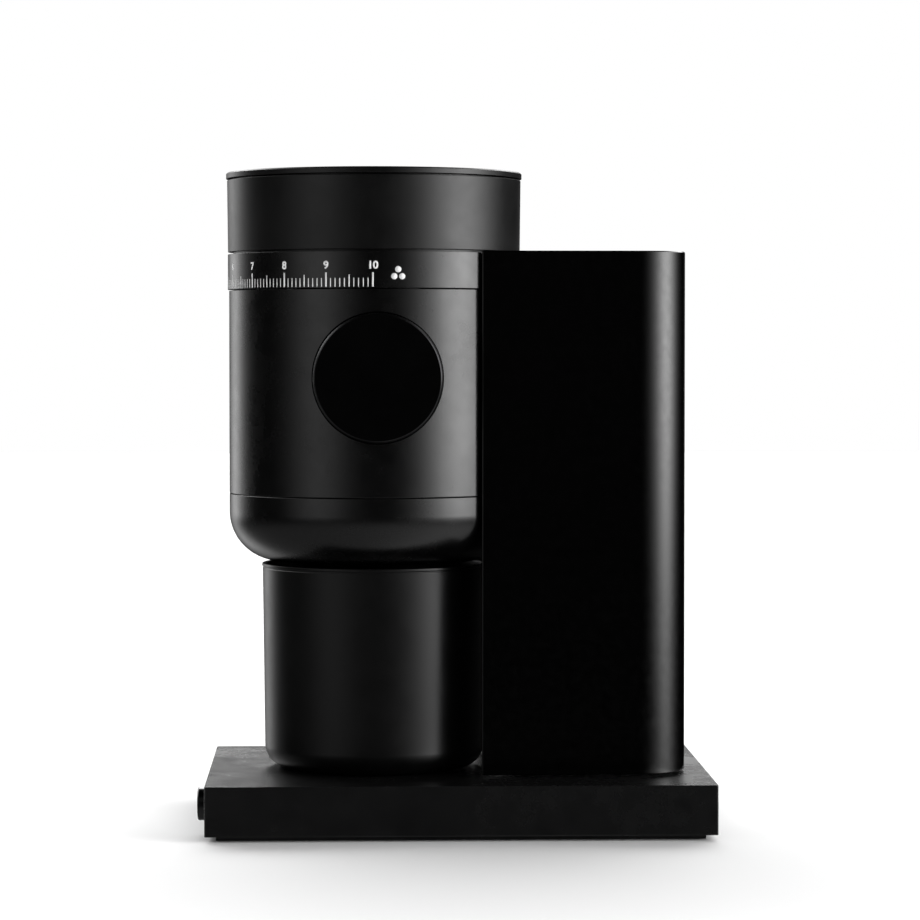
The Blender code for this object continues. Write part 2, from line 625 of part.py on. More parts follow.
def make_grind_chamber():
    hub_r, hub_low, seat_top, shaft_way = 0.015, 0.1950, 0.2032, SHAFT_R + 0.0015
    section = [(CHAMBER_R, CHAMBER_TOP), (CHAMBER_R, CHAMBER_BOTTOM), (hub_r, CHAMBER_BOTTOM),
               (hub_r, hub_low), (BEARING_SEAT_R, hub_low), (BEARING_SEAT_R, seat_top),
               (shaft_way, seat_top), (shaft_way, CHAMBER_FLOOR), (CHAMBER_BORE, CHAMBER_FLOOR),
               (CHAMBER_BORE, CHAMBER_TOP)]
    chamber = turned("grind_chamber", section, HEAD_AXIS, "aluminium", MIDDLE_STEPS)
    join(chamber, box("outlet_nozzle", (CHUTE_X + CHUTE_HALF + GAP, -0.012, 0.2055),
                      (HEAD_X - CHAMBER_BORE - 0.0015, 0.012, 0.2215)))
    leg_low, seat = SHELF_TOP + GAP, SHELF_BOTTOM - GAP
    for i, y in enumerate(CHAMBER_SCREW_Y, 1):
        join(chamber, box(f"chamber_leg_{i}", (HEAD_X - 0.017, y - 0.004, leg_low),
                          (HEAD_X + 0.017, y + 0.004, CHAMBER_BOTTOM + 0.001)))
        cut(chamber, rod(f"chamber_leg_bore_{i}", BORE_R, (HEAD_X, y, leg_low - THROUGH),
                         (HEAD_X, y, 0.189), steps=SCREW_STEPS))
        screw(f"chamber_screw_{i}", HEAD_X, y, seat - HEAD_HEIGHT, seat, 0.188)
    outlet = box("outlet_window", (CHUTE_X, -0.0095, 0.2075), (HEAD_X - 0.030, 0.0095, 0.2195))
    cut(chamber, outlet)
    make_chute(outlet)
    make_bearing("upper_bearing", hub_low + 0.0005, seat_top - GAP)
    make_bearing("lower_bearing", SHELF_BOTTOM, SHELF_TOP)


def chute_profile(half, top, bottom):
    """Side view of the chute: upright beside the chamber, then leaning in over the cup."""
    lean = (CHUTE_EXIT_X - CHUTE_X) / (CHUTE_BEND - BOWL_BOTTOM)
    end = CHUTE_X + lean * (CHUTE_BEND - bottom)
    return [(CHUTE_X - half, top), (CHUTE_X - half, CHUTE_BEND), (end - half, bottom),
            (end + half, bottom), (CHUTE_X + half, CHUTE_BEND), (CHUTE_X + half, top)]


def upright_prism(name, profile, width, finish=None):
    """A plate of the given width whose outline is seen along Y."""
    return place(name, outline_mesh(name, [profile], width), finish=finish,
                 rotation=(math.pi / 2, 0, 0))


def make_chute(outlet):
    bottom, width, wall = BOWL_BOTTOM + 0.0004, 0.024, 0.0015
    chute = upright_prism("outlet_chute", chute_profile(CHUTE_HALF, CHUTE_TOP, bottom), width,
                          "matte_black")
    hollow = chute_profile(CHUTE_HALF - wall, CHUTE_TOP - wall, bottom - 0.006)
    cut(chute, upright_prism("chute_hollow", hollow, width - 2 * wall), outlet)


# ---------------------------------------------------------------- head housings


def make_head_body():
    inner = BODY_R - WALL
    low = BOWL_TOP + GAP
    section = [(BODY_R, BODY_TOP), (BODY_R, low), (inner, low), (inner, BODY_TOP)]
    body = turned("head_body", section, HEAD_AXIS, "satin_black")
    top = RING_BOTTOM - 0.0004  # of the plunger, just clear of the ring
    boss_low = top - 0.0219
    bore_floor = boss_low + 0.0015
    join(body, rod("detent_boss", 0.0050, (HEAD_X, DETENT_Y, boss_low),
                   (HEAD_X, DETENT_Y, BODY_TOP - WALL)))
    cut(body,
        rod("detent_bore", DETENT_R + 0.0004, (HEAD_X, DETENT_Y, bore_floor),
            (HEAD_X, DETENT_Y, BODY_TOP + THROUGH), steps=12),
        rod("knob_hole", KNOB_R + 0.0006, (KNOB_X, -0.040, KNOB_Z), (KNOB_X, -0.090, KNOB_Z),
            steps=48),
        box("body_window", (0.0, -WINDOW_HALF, 0.15), (0.060, WINDOW_HALF, WINDOW_TOP)))
    spring_low = bore_floor + 0.0007
    coil("detent_spring", 0.0016, 0.00035, (HEAD_X, DETENT_Y, spring_low),
         (HEAD_X, DETENT_Y, spring_low + 0.0076), 4, "steel", points_per_turn=6)
    plunger_low = spring_low + 0.0084
    turned("detent_plunger", [(0, top), (0.0012, top - 0.0004), (DETENT_R, top - 0.0016),
                              (DETENT_R, plunger_low), (0, plunger_low)],
           (HEAD_X, DETENT_Y, 0), "steel", 12, closed=False)


def make_head_bowl():
    """The rounded cover under the head, with the hole that the chute comes through."""
    flat_r = BODY_R - BOWL_CORNER
    centre_z = BOWL_BOTTOM + BOWL_CORNER
    outer = arc(flat_r, centre_z, BOWL_CORNER, 0, -90, 6)
    inner = arc(flat_r, centre_z, BOWL_CORNER - WALL, -90, 0, 4)
    section = [(BODY_R, BOWL_TOP)] + outer + [(0, BOWL_BOTTOM)]
    hollow = [(0, BOWL_BOTTOM + WALL)] + inner + [(BODY_R - WALL, BOWL_TOP)]
    bowl = turned("head_bowl", hollow + section, HEAD_AXIS, "satin_black", closed=False)
    cut(bowl, box("outlet_hole", (CHUTE_EXIT_X - 0.0085, -0.0124, BOWL_BOTTOM - 0.01),
                  (CHUTE_EXIT_X + 0.0084, 0.0124, BOWL_BOTTOM + 0.01)))


def make_adjust_ring():
    """The ring's floor reaches in to a threaded hub that holds the burr carrier."""
    low, web_low, web_top = RING_BOTTOM, RING_BOTTOM + 0.002, RING_BOTTOM + 0.005
    foot_r, thread_r, bore_r = 0.0630, 0.0386, 0.0715
    section = [(RING_R, RING_TOP), (RING_R, low), (foot_r, low), (foot_r, web_low),
               (RING_HUB_R, web_low), (RING_HUB_R, RING_HUB_BOTTOM), (thread_r, RING_HUB_BOTTOM),
               (thread_r, web_top), (bore_r, web_top), (bore_r, RING_TOP)]
    turned("adjust_ring", section, HEAD_AXIS, "satin_black")


# ---------------------------------------------------------------- hopper, lid and cup


def make_hopper():
    """A conical funnel with a spout; a thin skirt centres it in the ring."""
    low, skirt_low = HOPPER_BOTTOM, HOPPER_BOTTOM - 0.0038
    skirt_r, inner_r, spout_inner = 0.0712, 0.0692, SPOUT_R - 0.0020
    section = [(HOPPER_TOP_R, HOPPER_TOP), (HOPPER_BOTTOM_R, low), (skirt_r, low),
               (skirt_r, skirt_low), (inner_r, skirt_low), (inner_r, low + 0.0032),
               (SPOUT_R, 0.2700), (SPOUT_R, SPOUT_BOTTOM), (spout_inner, SPOUT_BOTTOM),
               (spout_inner, 0.2715), (0.0719, low + 0.0072), (HOPPER_TOP_R - HOPPER_WALL, HOPPER_TOP)]
    turned("hopper", section, HEAD_AXIS, "satin_black")


def make_lid():
    """A flat disc with a shallow skirt that carries a rubber seal."""
    low, under, skirt = LID_BOTTOM, LID_BOTTOM + 0.0006, LID_BOTTOM - 0.0040
    edge, skirt_inner = 0.0006, LID_SKIRT_R - 0.0014
    section = [(0, LID_TOP), (LID_R - edge, LID_TOP), (LID_R, LID_TOP - edge), (LID_R, low),
               (LID_SKIRT_R, low), (LID_SKIRT_R, skirt), (skirt_inner, skirt), (skirt_inner, under),
               (0, under)]
    lid = turned("hopper_lid", section, HEAD_AXIS, "satin_black", closed=False)
    seal_low, seal_high = low - 0.0032, low - 0.0016
    inner, outer = LID_SKIRT_R + GAP, LID_SKIRT_R + 0.0014
    seal = [(outer, seal_high), (outer, seal_low), (inner, seal_low), (inner, seal_high)]
    hang_on(lid, turned("lid_seal", seal, HEAD_AXIS, "rubber"))


def make_cup():
    foot = BASE_TOP + GAP
    floor = foot + 0.0025
    inner_corner = CUP_CORNER - CUP_WALL
    outer = arc(CUP_FOOT_R - CUP_CORNER, foot + CUP_CORNER, CUP_CORNER, 0, -90, 4)
    inner = arc(CUP_FOOT_R - CUP_WALL - inner_corner, floor + inner_corner, inner_corner, -90, 0, 3)
    section = ([(0, floor)] + inner + [(CUP_RIM_R - CUP_WALL, CUP_TOP), (CUP_RIM_R, CUP_TOP)]
               + outer + [(0, foot)])
    turned("cup", section, HEAD_AXIS, "satin_black", BIG_STEPS, closed=False)


# ---------------------------------------------------------------- knob


def make_knob():
    """The round knob turns on a stem that can be pressed; a coil pushes it out again."""
    outward = (math.pi / 2, 0, 0)  # local +Z points out of the head, along -Y
    axis = (KNOB_X, 0, KNOB_Z)
    edge, inner, hub_back, bore_end = 0.0008, KNOB_R - 0.0030, 0.0670, 0.0794
    section = [(0, KNOB_FACE), (KNOB_R - edge, KNOB_FACE), (KNOB_R, KNOB_FACE - edge),
               (KNOB_R, KNOB_BACK), (inner, KNOB_BACK), (inner, KNOB_WEB), (KNOB_HUB_R, KNOB_WEB),
               (KNOB_HUB_R, hub_back), (KNOB_BORE_R, hub_back), (KNOB_BORE_R, bore_end),
               (0, bore_end)]
    knob = turned("start_knob", section, axis, "knob_black", 36, closed=False, rotation=outward)
    stem = rod("knob_stem", STEM_R, (KNOB_X, GAP - bore_end, KNOB_Z), (KNOB_X, -0.0500, KNOB_Z),
               "steel", 12)
    hang_on(stem, knob)
    coil("knob_spring", 0.0050, 0.0004, (KNOB_X, -RECESS_FRONT - 0.0006, KNOB_Z),
         (KNOB_X, 0.0006 - hub_back, KNOB_Z), 3, "steel", points_per_turn=8)
    outer, inner, rim, stem_way = 0.0345, KNOB_R + 0.0008, 0.0760, STEM_R + 0.0004
    cup = [(outer, rim), (outer, RECESS_BACK), (stem_way, RECESS_BACK), (stem_way, RECESS_FRONT),
           (inner, RECESS_FRONT), (inner, rim)]
    recess = turned("knob_recess", cup, axis, "matte_black", 36, rotation=outward)
    inside_body = rod("inside_of_body", BODY_R - WALL - GAP, (HEAD_X, 0, 0.16), (HEAD_X, 0, 0.27),
                      steps=64)
    boolean(recess, inside_body, "INTERSECT")
    unit = box("knob_switch", (KNOB_X - 0.010, GAP - RECESS_BACK, KNOB_Z - 0.010),
               (KNOB_X + 0.010, -0.0450, KNOB_Z + 0.010), "white_plastic")
    cut(unit, rod("unit_bore", stem_way, (KNOB_X, -0.0700, KNOB_Z), (KNOB_X, -0.0468, KNOB_Z),
                  steps=12))


# ---------------------------------------------------------------- the whole grinder


def make_grinder():
    make_base()
    make_bottom_plate()
    make_power_switch()
    make_electronics()
    make_tower()
    make_drive_frame()
    make_motor()
    make_belt()
    make_lower_burr()
    make_upper_burr()
    make_grind_chamber()
    make_head_body()
    make_head_bowl()
    make_adjust_ring()
    make_hopper()
    make_lid()
    make_cup()
    make_knob()


make_grinder()
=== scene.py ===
"""Looks of the burr coffee grinder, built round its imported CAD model.

Metres, +Z up. -X is the end with the power button, +X the tower, -Y the side with the knob.
"""

import json
import math

import bmesh
import bpy
from mathutils import Matrix, Vector


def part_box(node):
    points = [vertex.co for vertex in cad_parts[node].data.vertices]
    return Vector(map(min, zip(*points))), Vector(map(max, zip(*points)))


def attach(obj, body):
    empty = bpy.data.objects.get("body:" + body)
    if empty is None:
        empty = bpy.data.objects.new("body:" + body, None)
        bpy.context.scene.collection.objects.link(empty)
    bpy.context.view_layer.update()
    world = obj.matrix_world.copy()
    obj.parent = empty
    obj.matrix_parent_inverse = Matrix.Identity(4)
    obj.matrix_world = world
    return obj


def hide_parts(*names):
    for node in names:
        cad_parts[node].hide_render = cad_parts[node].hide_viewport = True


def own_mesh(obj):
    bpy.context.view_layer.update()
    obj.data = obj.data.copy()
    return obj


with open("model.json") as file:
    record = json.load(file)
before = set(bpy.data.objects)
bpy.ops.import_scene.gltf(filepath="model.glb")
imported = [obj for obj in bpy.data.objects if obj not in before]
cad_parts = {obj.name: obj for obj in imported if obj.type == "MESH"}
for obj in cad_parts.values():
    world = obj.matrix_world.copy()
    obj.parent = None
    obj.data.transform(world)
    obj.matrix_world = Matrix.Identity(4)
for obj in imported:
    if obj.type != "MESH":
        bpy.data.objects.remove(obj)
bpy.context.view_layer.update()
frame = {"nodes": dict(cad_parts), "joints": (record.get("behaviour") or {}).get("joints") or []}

MM = 0.001

# ---------------------------------------------------------------- places from the frame

JOINTS = {joint["name"]: joint for joint in frame["joints"]}
HEAD_AXIS = Vector((JOINTS["ring_turn"]["pos_m"][0], 0.0, 0.0))
KNOB_CENTRE = Vector(JOINTS["knob_turn"]["pos_m"])
FRAME_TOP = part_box("drive_frame")[1].z
CLEARANCE = 0.3 * MM
RING_SEAM, HOPPER_SEAM, LID_SEAM = 0.6 * MM, 1.2 * MM, 0.8 * MM  # dark gaps between the head's pieces
SHELL_WALL = 2.5 * MM
TOWER_WALL = 2.0 * MM
BASE_WALL = 3.0 * MM
PANEL_THICKNESS = 2.2 * MM
WINDOW_HALF = 40.0 * MM  # half the width of the belt's way from tower to head
WINDOW_BELOW, WINDOW_ABOVE = 9.0 * MM, 23.0 * MM  # its lower and upper edge, from the top of the frame
GLAND_HOLE = 6.3 * MM  # radius
INK_FILM = 0.05 * MM


def radius_of(node):
    low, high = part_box(node)
    return (high.x - low.x) / 2


def heights(node):
    low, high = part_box(node)
    return low.z, high.z


# ---------------------------------------------------------------- shader helpers


def new_material(name, colour, roughness, metallic=0.0, **inputs):
    """A Principled material; keyword names are its sockets, with _ for spaces."""
    material = bpy.data.materials.new(name)
    material.use_nodes = True
    shader = material.node_tree.nodes["Principled BSDF"]
    shader.inputs["Base Color"].default_value = (*colour, 1.0)
    shader.inputs["Roughness"].default_value = roughness
    shader.inputs["Metallic"].default_value = metallic
    for key, value in inputs.items():
        shader.inputs[key.replace("_", " ")].default_value = value
    return material


def node(material, kind, **settings):
    made = material.node_tree.nodes.new(kind)
    for key, value in settings.items():
        if key in made.inputs:
            made.inputs[key].default_value = value
        else:
            setattr(made, key, value)
    return made


def link(material, source, target):
    material.node_tree.links.new(source, target)


def shader_of(material):
    return material.node_tree.nodes["Principled BSDF"]


def object_coordinates(material):
    return node(material, "ShaderNodeTexCoord").outputs["Object"]


def noise(material, scale, detail=2.0, roughness=0.5, stretch=None):
    """Noise in the piece's own coordinates; scale is in features per metre."""
    vector = object_coordinates(material)
    if stretch:
        mapping = node(material, "ShaderNodeMapping")
        mapping.inputs["Scale"].default_value = stretch
        link(material, vector, mapping.inputs["Vector"])
        vector = mapping.outputs["Vector"]
    texture = node(material, "ShaderNodeTexNoise", Scale=scale, Detail=detail, Roughness=roughness)
    link(material, vector, texture.inputs["Vector"])
    return texture.outputs["Fac"]


def ramp(material, value, low, high, out_low, out_high):
    """Maps value from low..high to out_low..out_high."""
    made = node(material, "ShaderNodeMapRange")
    for key, number in (("From Min", low), ("From Max", high), ("To Min", out_low), ("To Max", out_high)):
        made.inputs[key].default_value = number
    link(material, value, made.inputs["Value"])
    return made.outputs["Result"]


def add_bump(material, height, distance, strength=1.0, below=None):
    bump = node(material, "ShaderNodeBump", Strength=strength, Distance=distance)
    link(material, height, bump.inputs["Height"])
    if below is not None:
        link(material, below, bump.inputs["Normal"])
    link(material, bump.outputs["Normal"], shader_of(material).inputs["Normal"])
    return bump.outputs["Normal"]


def mix_colour(material, factor, first, second):
    made = node(material, "ShaderNodeMix", data_type="RGBA")
    link(material, factor, made.inputs["Factor"])
    made.inputs[6].default_value = (*first, 1.0)
    made.inputs[7].default_value = (*second, 1.0)
    link(material, made.outputs[2], shader_of(material).inputs["Base Color"])


# ---------------------------------------------------------------- materials


def moulded(name, colour, lighter, roughness, grain=2600, grain_depth=0.00002, spread=0.05, **inputs):
    """Moulded plastic: fine spark-eroded grain, slow changes in sheen, faint handling marks."""
    material = new_material(name, colour, roughness, **inputs)
    clouds = noise(material, 14, detail=3)
    marks = noise(material, 90, detail=5, roughness=0.65)
    both = node(material, "ShaderNodeMath", operation="ADD")
    link(material, clouds, both.inputs[0])
    link(material, marks, both.inputs[1])
    sheen = ramp(material, both.outputs[0], 0.7, 1.3, roughness - spread, roughness + spread)
    link(material, sheen, shader_of(material).inputs["Roughness"])
    mix_colour(material, ramp(material, marks, 0.3, 0.7, 0.0, 1.0), colour, lighter)
    wave = add_bump(material, noise(material, 30, detail=1), 0.00006, 0.25)
    add_bump(material, noise(material, grain, detail=1.5, roughness=0.6), grain_depth, 0.6, below=wave)
    return material


def glossy(name, colour, roughness):
    """Polished moulded plastic: a slow ripple in the surface and a little dust-fine scuffing."""
    material = new_material(name, colour, roughness, Specular_IOR_Level=0.40)
    scuffs = noise(material, 220, detail=6, roughness=0.7)
    sheen = ramp(material, scuffs, 0.35, 0.75, roughness - 0.02, roughness + 0.07)
    link(material, sheen, shader_of(material).inputs["Roughness"])
    add_bump(material, noise(material, 22, detail=1), 0.00005, 0.2)
    return material


def metal(name, colour, roughness, stretch=None, scale=900, depth=0.000006):
    """Machined or cast metal: streaks along the machining direction, in tone and in relief."""
    material = new_material(name, colour, roughness, metallic=1.0)
    streaks = noise(material, scale, detail=4, roughness=0.6, stretch=stretch)
    sheen = ramp(material, streaks, 0.3, 0.7, roughness - 0.08, roughness + 0.10)
    link(material, sheen, shader_of(material).inputs["Roughness"])
    darker = tuple(channel * 0.86 for channel in colour)
    mix_colour(material, ramp(material, streaks, 0.35, 0.65, 0.0, 1.0), darker, colour)
    add_bump(material, streaks, depth, 0.5)
    return material


def rubbery(name, colour):
    material = new_material(name, colour, 0.8, Specular_IOR_Level=0.3)
    speckle = noise(material, 1500, detail=3)
    mix_colour(material, ramp(material, speckle, 0.3, 0.7, 0.0, 1.0), colour,
               tuple(channel * 1.8 for channel in colour))
    add_bump(material, speckle, 0.00003, 0.6)
    return material


def circuit_board():
    material = new_material("board_lacquer", (0.012, 0.075, 0.035), 0.35)
    tracks = node(material, "ShaderNodeTexBrick", Scale=90.0)
    tracks.inputs["Mortar Size"].default_value = 0.06
    tracks.inputs["Color1"].default_value = (0.012, 0.075, 0.035, 1)
    tracks.inputs["Color2"].default_value = (0.014, 0.085, 0.040, 1)
    tracks.inputs["Mortar"].default_value = (0.05, 0.16, 0.08, 1)
    link(material, object_coordinates(material), tracks.inputs["Vector"])
    link(material, tracks.outputs["Color"], shader_of(material).inputs["Base Color"])
    add_bump(material, noise(material, 700), 0.00002, 0.5)
    return material


BLACK = (0.0006, 0.0006, 0.00065)
BLACK_WORN = (0.0010, 0.0010, 0.00105)

MATERIALS = {
    "satin": moulded("satin_black_shell", BLACK, BLACK_WORN, 0.25),
    "hopper": moulded("satin_black_hopper", BLACK, BLACK_WORN, 0.36, Specular_IOR_Level=0.40),
    "base": moulded("satin_black_base", (0.0042, 0.0042, 0.0043), (0.0055, 0.0055, 0.0056), 0.25,
                    Specular_IOR_Level=0.40),
    "dial": moulded("satin_black_dial", BLACK, BLACK_WORN, 0.25),
    "matte": moulded("matte_black_inner", BLACK, BLACK_WORN, 0.6, grain=1800),
    "gloss": glossy("gloss_black_tower", (0.0003, 0.0003, 0.00033), 0.16),
    "button": glossy("gloss_black_button", (0.0015, 0.0015, 0.0016), 0.20),
    "cup": moulded("coated_cup", (0.0014, 0.0014, 0.00145), (0.0019, 0.0019, 0.0020), 0.34, grain=3400,
                   grain_depth=0.00001, spread=0.04, Specular_IOR_Level=0.29),
    "knob": moulded("anodised_knob", (0.0004, 0.0004, 0.00042), BLACK, 0.50, grain=5200,
                    grain_depth=0.000012, Specular_IOR_Level=0.03),
    "knob_edge": metal("anodised_knurling", (0.030, 0.030, 0.031), 0.34, scale=2400),
    "bright_edge": metal("bright_chamfer", (0.036, 0.036, 0.037), 0.30, scale=2400, depth=0.000003),
    "ink": moulded("printing_ink", (0.72, 0.72, 0.72), (0.80, 0.80, 0.80), 0.5, grain=5000,
                   grain_depth=0.000006),
    "rubber": rubbery("black_rubber", (0.012, 0.012, 0.012)),
    "steel": metal("machined_steel", (0.56, 0.57, 0.58), 0.30, stretch=(1.0, 1.0, 14.0)),
    "aluminium": metal("cast_aluminium", (0.70, 0.71, 0.73), 0.44, scale=520, depth=0.00002),
    "white": moulded("natural_plastic", (0.62, 0.62, 0.58), (0.70, 0.70, 0.67), 0.42, grain=1500),
    "board": circuit_board(),
}

# ---------------------------------------------------------------- mesh helpers


def fillet(before, corner, after, radius, steps):
    """Points of the arc that rounds one corner of an outline."""
    corner = Vector(corner)
    towards, away = Vector(before) - corner, Vector(after) - corner
    half = towards.angle(away) / 2
    if radius <= 0 or half > math.radians(89):
        return [tuple(corner)]
    reach = min(radius / math.tan(half), 0.98 * towards.length, 0.98 * away.length)
    radius = reach * math.tan(half)
    centre = corner + (towards.normalized() + away.normalized()).normalized() * radius / math.sin(half)
    start = corner + towards.normalized() * reach - centre
    end = corner + away.normalized() * reach - centre
    sweep = start.angle(end)
    return [tuple(centre + (start * math.sin(sweep * (1 - i / steps)) + end * math.sin(sweep * i / steps))
                  / math.sin(sweep)) for i in range(steps + 1)]


def rounded(corners, closed=True, steps=5):
    """An outline from (x, y, fillet radius) corners."""
    flat = [corner[:2] for corner in corners]
    points = []
    for i, (x, y, radius) in enumerate(corners):
        if not closed and i in (0, len(corners) - 1):
            points.append((x, y))
            continue
        points += fillet(flat[i - 1], (x, y), flat[(i + 1) % len(flat)], radius, steps)
    return points


def object_from(name, shape, material, body, *stands_for, sharp=40):
    """Finishes a piece: outward normals, even shading, material, body and the node it stands for."""
    bmesh.ops.recalc_face_normals(shape, faces=shape.faces)
    mesh = bpy.data.meshes.new(name)
    shape.to_mesh(mesh)
    shape.free()
    mesh.shade_smooth()
    mesh.set_sharp_from_angle(angle=math.radians(sharp))
    mesh.materials.append(MATERIALS[material])
    obj = bpy.data.objects.new(name, mesh)
    bpy.context.scene.collection.objects.link(obj)
    if body:
        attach(obj, body)
        if stands_for:
            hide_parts(*stands_for)
    return obj


def even_shading(obj):
    modifier = obj.modifiers.new("even_shading", "WEIGHTED_NORMAL")
    modifier.weight = 80
    modifier.keep_sharp = True


def upright(centre):
    return Matrix.Translation(centre)


def pointing(centre, direction):
    """A frame whose +Z points along the direction."""
    turn = Vector((0, 0, 1)).rotation_difference(Vector(direction)).to_matrix().to_4x4()
    return Matrix.Translation(centre) @ turn


def revolve(profile, segments, place, closed=True, ripple=None):
    """A lathe shape from (radius, height) points. ripple(radius, height, segment) gives the shift of
    radius and height at each point."""
    shape = bmesh.new()
    rings = []
    for radius, height in profile:
        if radius < 1e-7:
            rings.append([shape.verts.new(place @ Vector((0, 0, height)))])
            continue
        ring = []
        for i in range(segments):
            angle = 2 * math.pi * i / segments
            out, up = ripple(radius, height, i) if ripple else (0.0, 0.0)
            ring.append(shape.verts.new(place @ Vector(((radius + out) * math.cos(angle),
                                                        (radius + out) * math.sin(angle), height + up))))
        rings.append(ring)
    pairs = list(zip(rings, rings[1:])) + ([(rings[-1], rings[0])] if closed else [])
    for upper, lower in pairs:
        for i in range(segments):
            j = (i + 1) % segments
            corners = [upper[i % len(upper)], upper[j % len(upper)],
                       lower[j % len(lower)], lower[i % len(lower)]]
            corners = list(dict.fromkeys(corners))
            if len(corners) > 2:
                shape.faces.new(corners)
    return shape


def turned(name, corners, place, material, body, *stands_for, segments=192, closed=True, steps=5,
           ripple=None):
    """A lathe piece from (radius, height, fillet radius) corners."""
    shape = revolve(rounded(corners, closed, steps), segments, place, closed, ripple)
    obj = object_from(name, shape, material, body, *stands_for)
    even_shading(obj)
    return obj


def slab(outline, low, high, edge, steps=4):
    """A closed plate from an outline seen from above, its upper and lower edges rounded."""
    shape = bmesh.new()
    base = [shape.verts.new((x, y, low)) for x, y in outline]
    face = shape.faces.new(base)
    raised = bmesh.ops.extrude_face_region(shape, geom=[face])["geom"]
    bmesh.ops.translate(shape, vec=(0, 0, high - low),
                        verts=[item for item in raised if isinstance(item, bmesh.types.BMVert)])
    bmesh.ops.recalc_face_normals(shape, faces=shape.faces)
    if edge:
        rims = [e for e in shape.edges if abs(e.verts[0].co.z - e.verts[1].co.z) < 1e-7
                and e.calc_face_angle(0) > 0.5]
        bmesh.ops.bevel(shape, geom=rims, offset=edge, segments=steps, profile=0.5, affect="EDGES")
    return shape


def cutter(name, shape):
    bmesh.ops.recalc_face_normals(shape, faces=shape.faces)
    mesh = bpy.data.meshes.new(name)
    shape.to_mesh(mesh)
    shape.free()
    obj = bpy.data.objects.new(name, mesh)
    bpy.context.scene.collection.objects.link(obj)
    return obj


def block(low, high):
    shape = bmesh.new()
    bmesh.ops.create_cube(shape, size=1.0)
    low, high = Vector(low), Vector(high)
    bmesh.ops.scale(shape, vec=high - low, verts=shape.verts)
    bmesh.ops.translate(shape, vec=(low + high) / 2, verts=shape.verts)
    return shape


def cylinder_shape(radius, start, end, segments=96):
    start, end = Vector(start), Vector(end)
    place = pointing(start, end - start)
    return revolve([(0, (end - start).length), (radius, (end - start).length), (radius, 0), (0, 0)],
                   segments, place, closed=False)


def carve(obj, *shapes):
    """Cuts shapes out of a piece for good, and shades it evenly again."""
    obj.modifiers.clear()
    for i, shape in enumerate(shapes):
        tool = cutter(f"{obj.name}_cutter_{i}", shape)
        modifier = obj.modifiers.new(f"cut_{i}", "BOOLEAN")
        modifier.object = tool
        modifier.solver = "EXACT"
        bpy.context.view_layer.update()
        graph = bpy.context.evaluated_depsgraph_get()
        mesh = bpy.data.meshes.new_from_object(obj.evaluated_get(graph))
        obj.modifiers.clear()
        obj.data = mesh
        bpy.data.objects.remove(tool)
    obj.data.shade_smooth()
    obj.data.set_sharp_from_angle(angle=math.radians(35))
    even_shading(obj)


# ---------------------------------------------------------------- base


def make_base():
    low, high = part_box("base_shell")
    side, edge, corner, wall = high.y, 0.35 * MM, 0.9 * MM, BASE_WALL
    outline = rounded([(low.x, -side, corner), (high.x, -side, corner), (high.x, side, corner),
                       (low.x, side, corner)], steps=6)
    past = 10 * MM
    base = object_from("base_cover", slab(outline, low.z, high.z, edge), "base", "housing", "base_shell")
    button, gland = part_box("power_button"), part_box("cord_gland")
    button_centre, gland_centre = sum(button, Vector()) / 2, sum(gland, Vector()) / 2
    button_r = (button[1].z - button[0].z) / 2 + CLEARANCE
    carve(base,
          block((low.x + wall, -side + wall, -past), (high.x - wall, side - wall, high.z - wall)),
          cylinder_shape(button_r, (low.x - past, button_centre.y, button_centre.z),
                         (low.x + past, button_centre.y, button_centre.z)),
          cylinder_shape(GLAND_HOLE, (gland_centre.x, side - past, gland_centre.z),
                         (gland_centre.x, side + past, gland_centre.z)))
    for i in range(1, 5):
        foot_low, foot_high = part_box(f"rubber_foot_{i}")
        centre = (foot_low + foot_high) / 2
        r, height, dimple = (foot_high.x - foot_low.x) / 2, foot_high.z, 0.4 * MM
        turned(f"foot_pad_{i}", [
            (0, height, 0), (r, height, 0.2 * MM), (r, 0, 0.5 * MM), (r * 0.55, 0, 0.3 * MM),
            (r * 0.5, dimple, 0.2 * MM), (0, dimple, 0)],
            upright((centre.x, centre.y, 0)), "rubber", "housing", f"rubber_foot_{i}", segments=64,
            closed=False)


def make_power_button():
    low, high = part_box("power_button")
    centre = (low + high) / 2
    r = (high.z - low.z) / 2
    length = high.x - low.x
    place = pointing((high.x, centre.y, centre.z), (-1, 0, 0))
    face, disc, stem_r = length, length - 6.8 * MM, 3.0 * MM
    turned("power_button_cap", [(0, face, 0), (r - 1.6 * MM, face - 0.1 * MM, 6 * MM),
                                (r - 0.5 * MM, face - 0.3 * MM, 0.6 * MM), (r, face - 0.8 * MM, 0.4 * MM),
                                (r, disc, 0.2 * MM), (stem_r, disc, 0), (stem_r, 0, 0.3 * MM), (0, 0, 0)],
           place, "button", "power_button", "power_button", segments=96, closed=False)


# ---------------------------------------------------------------- tower


def tower_path(inset):
    """Plan of the tower's outer wall from one free edge to the other, moved in by inset."""
    low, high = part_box("tower_shell")
    side, right, radius = high.y - inset, high.x - inset, 25 * MM - inset
    return rounded([(low.x, -side, 0), (right, -side, radius), (right, side, radius), (low.x, side, 0)],
                   closed=False, steps=24)


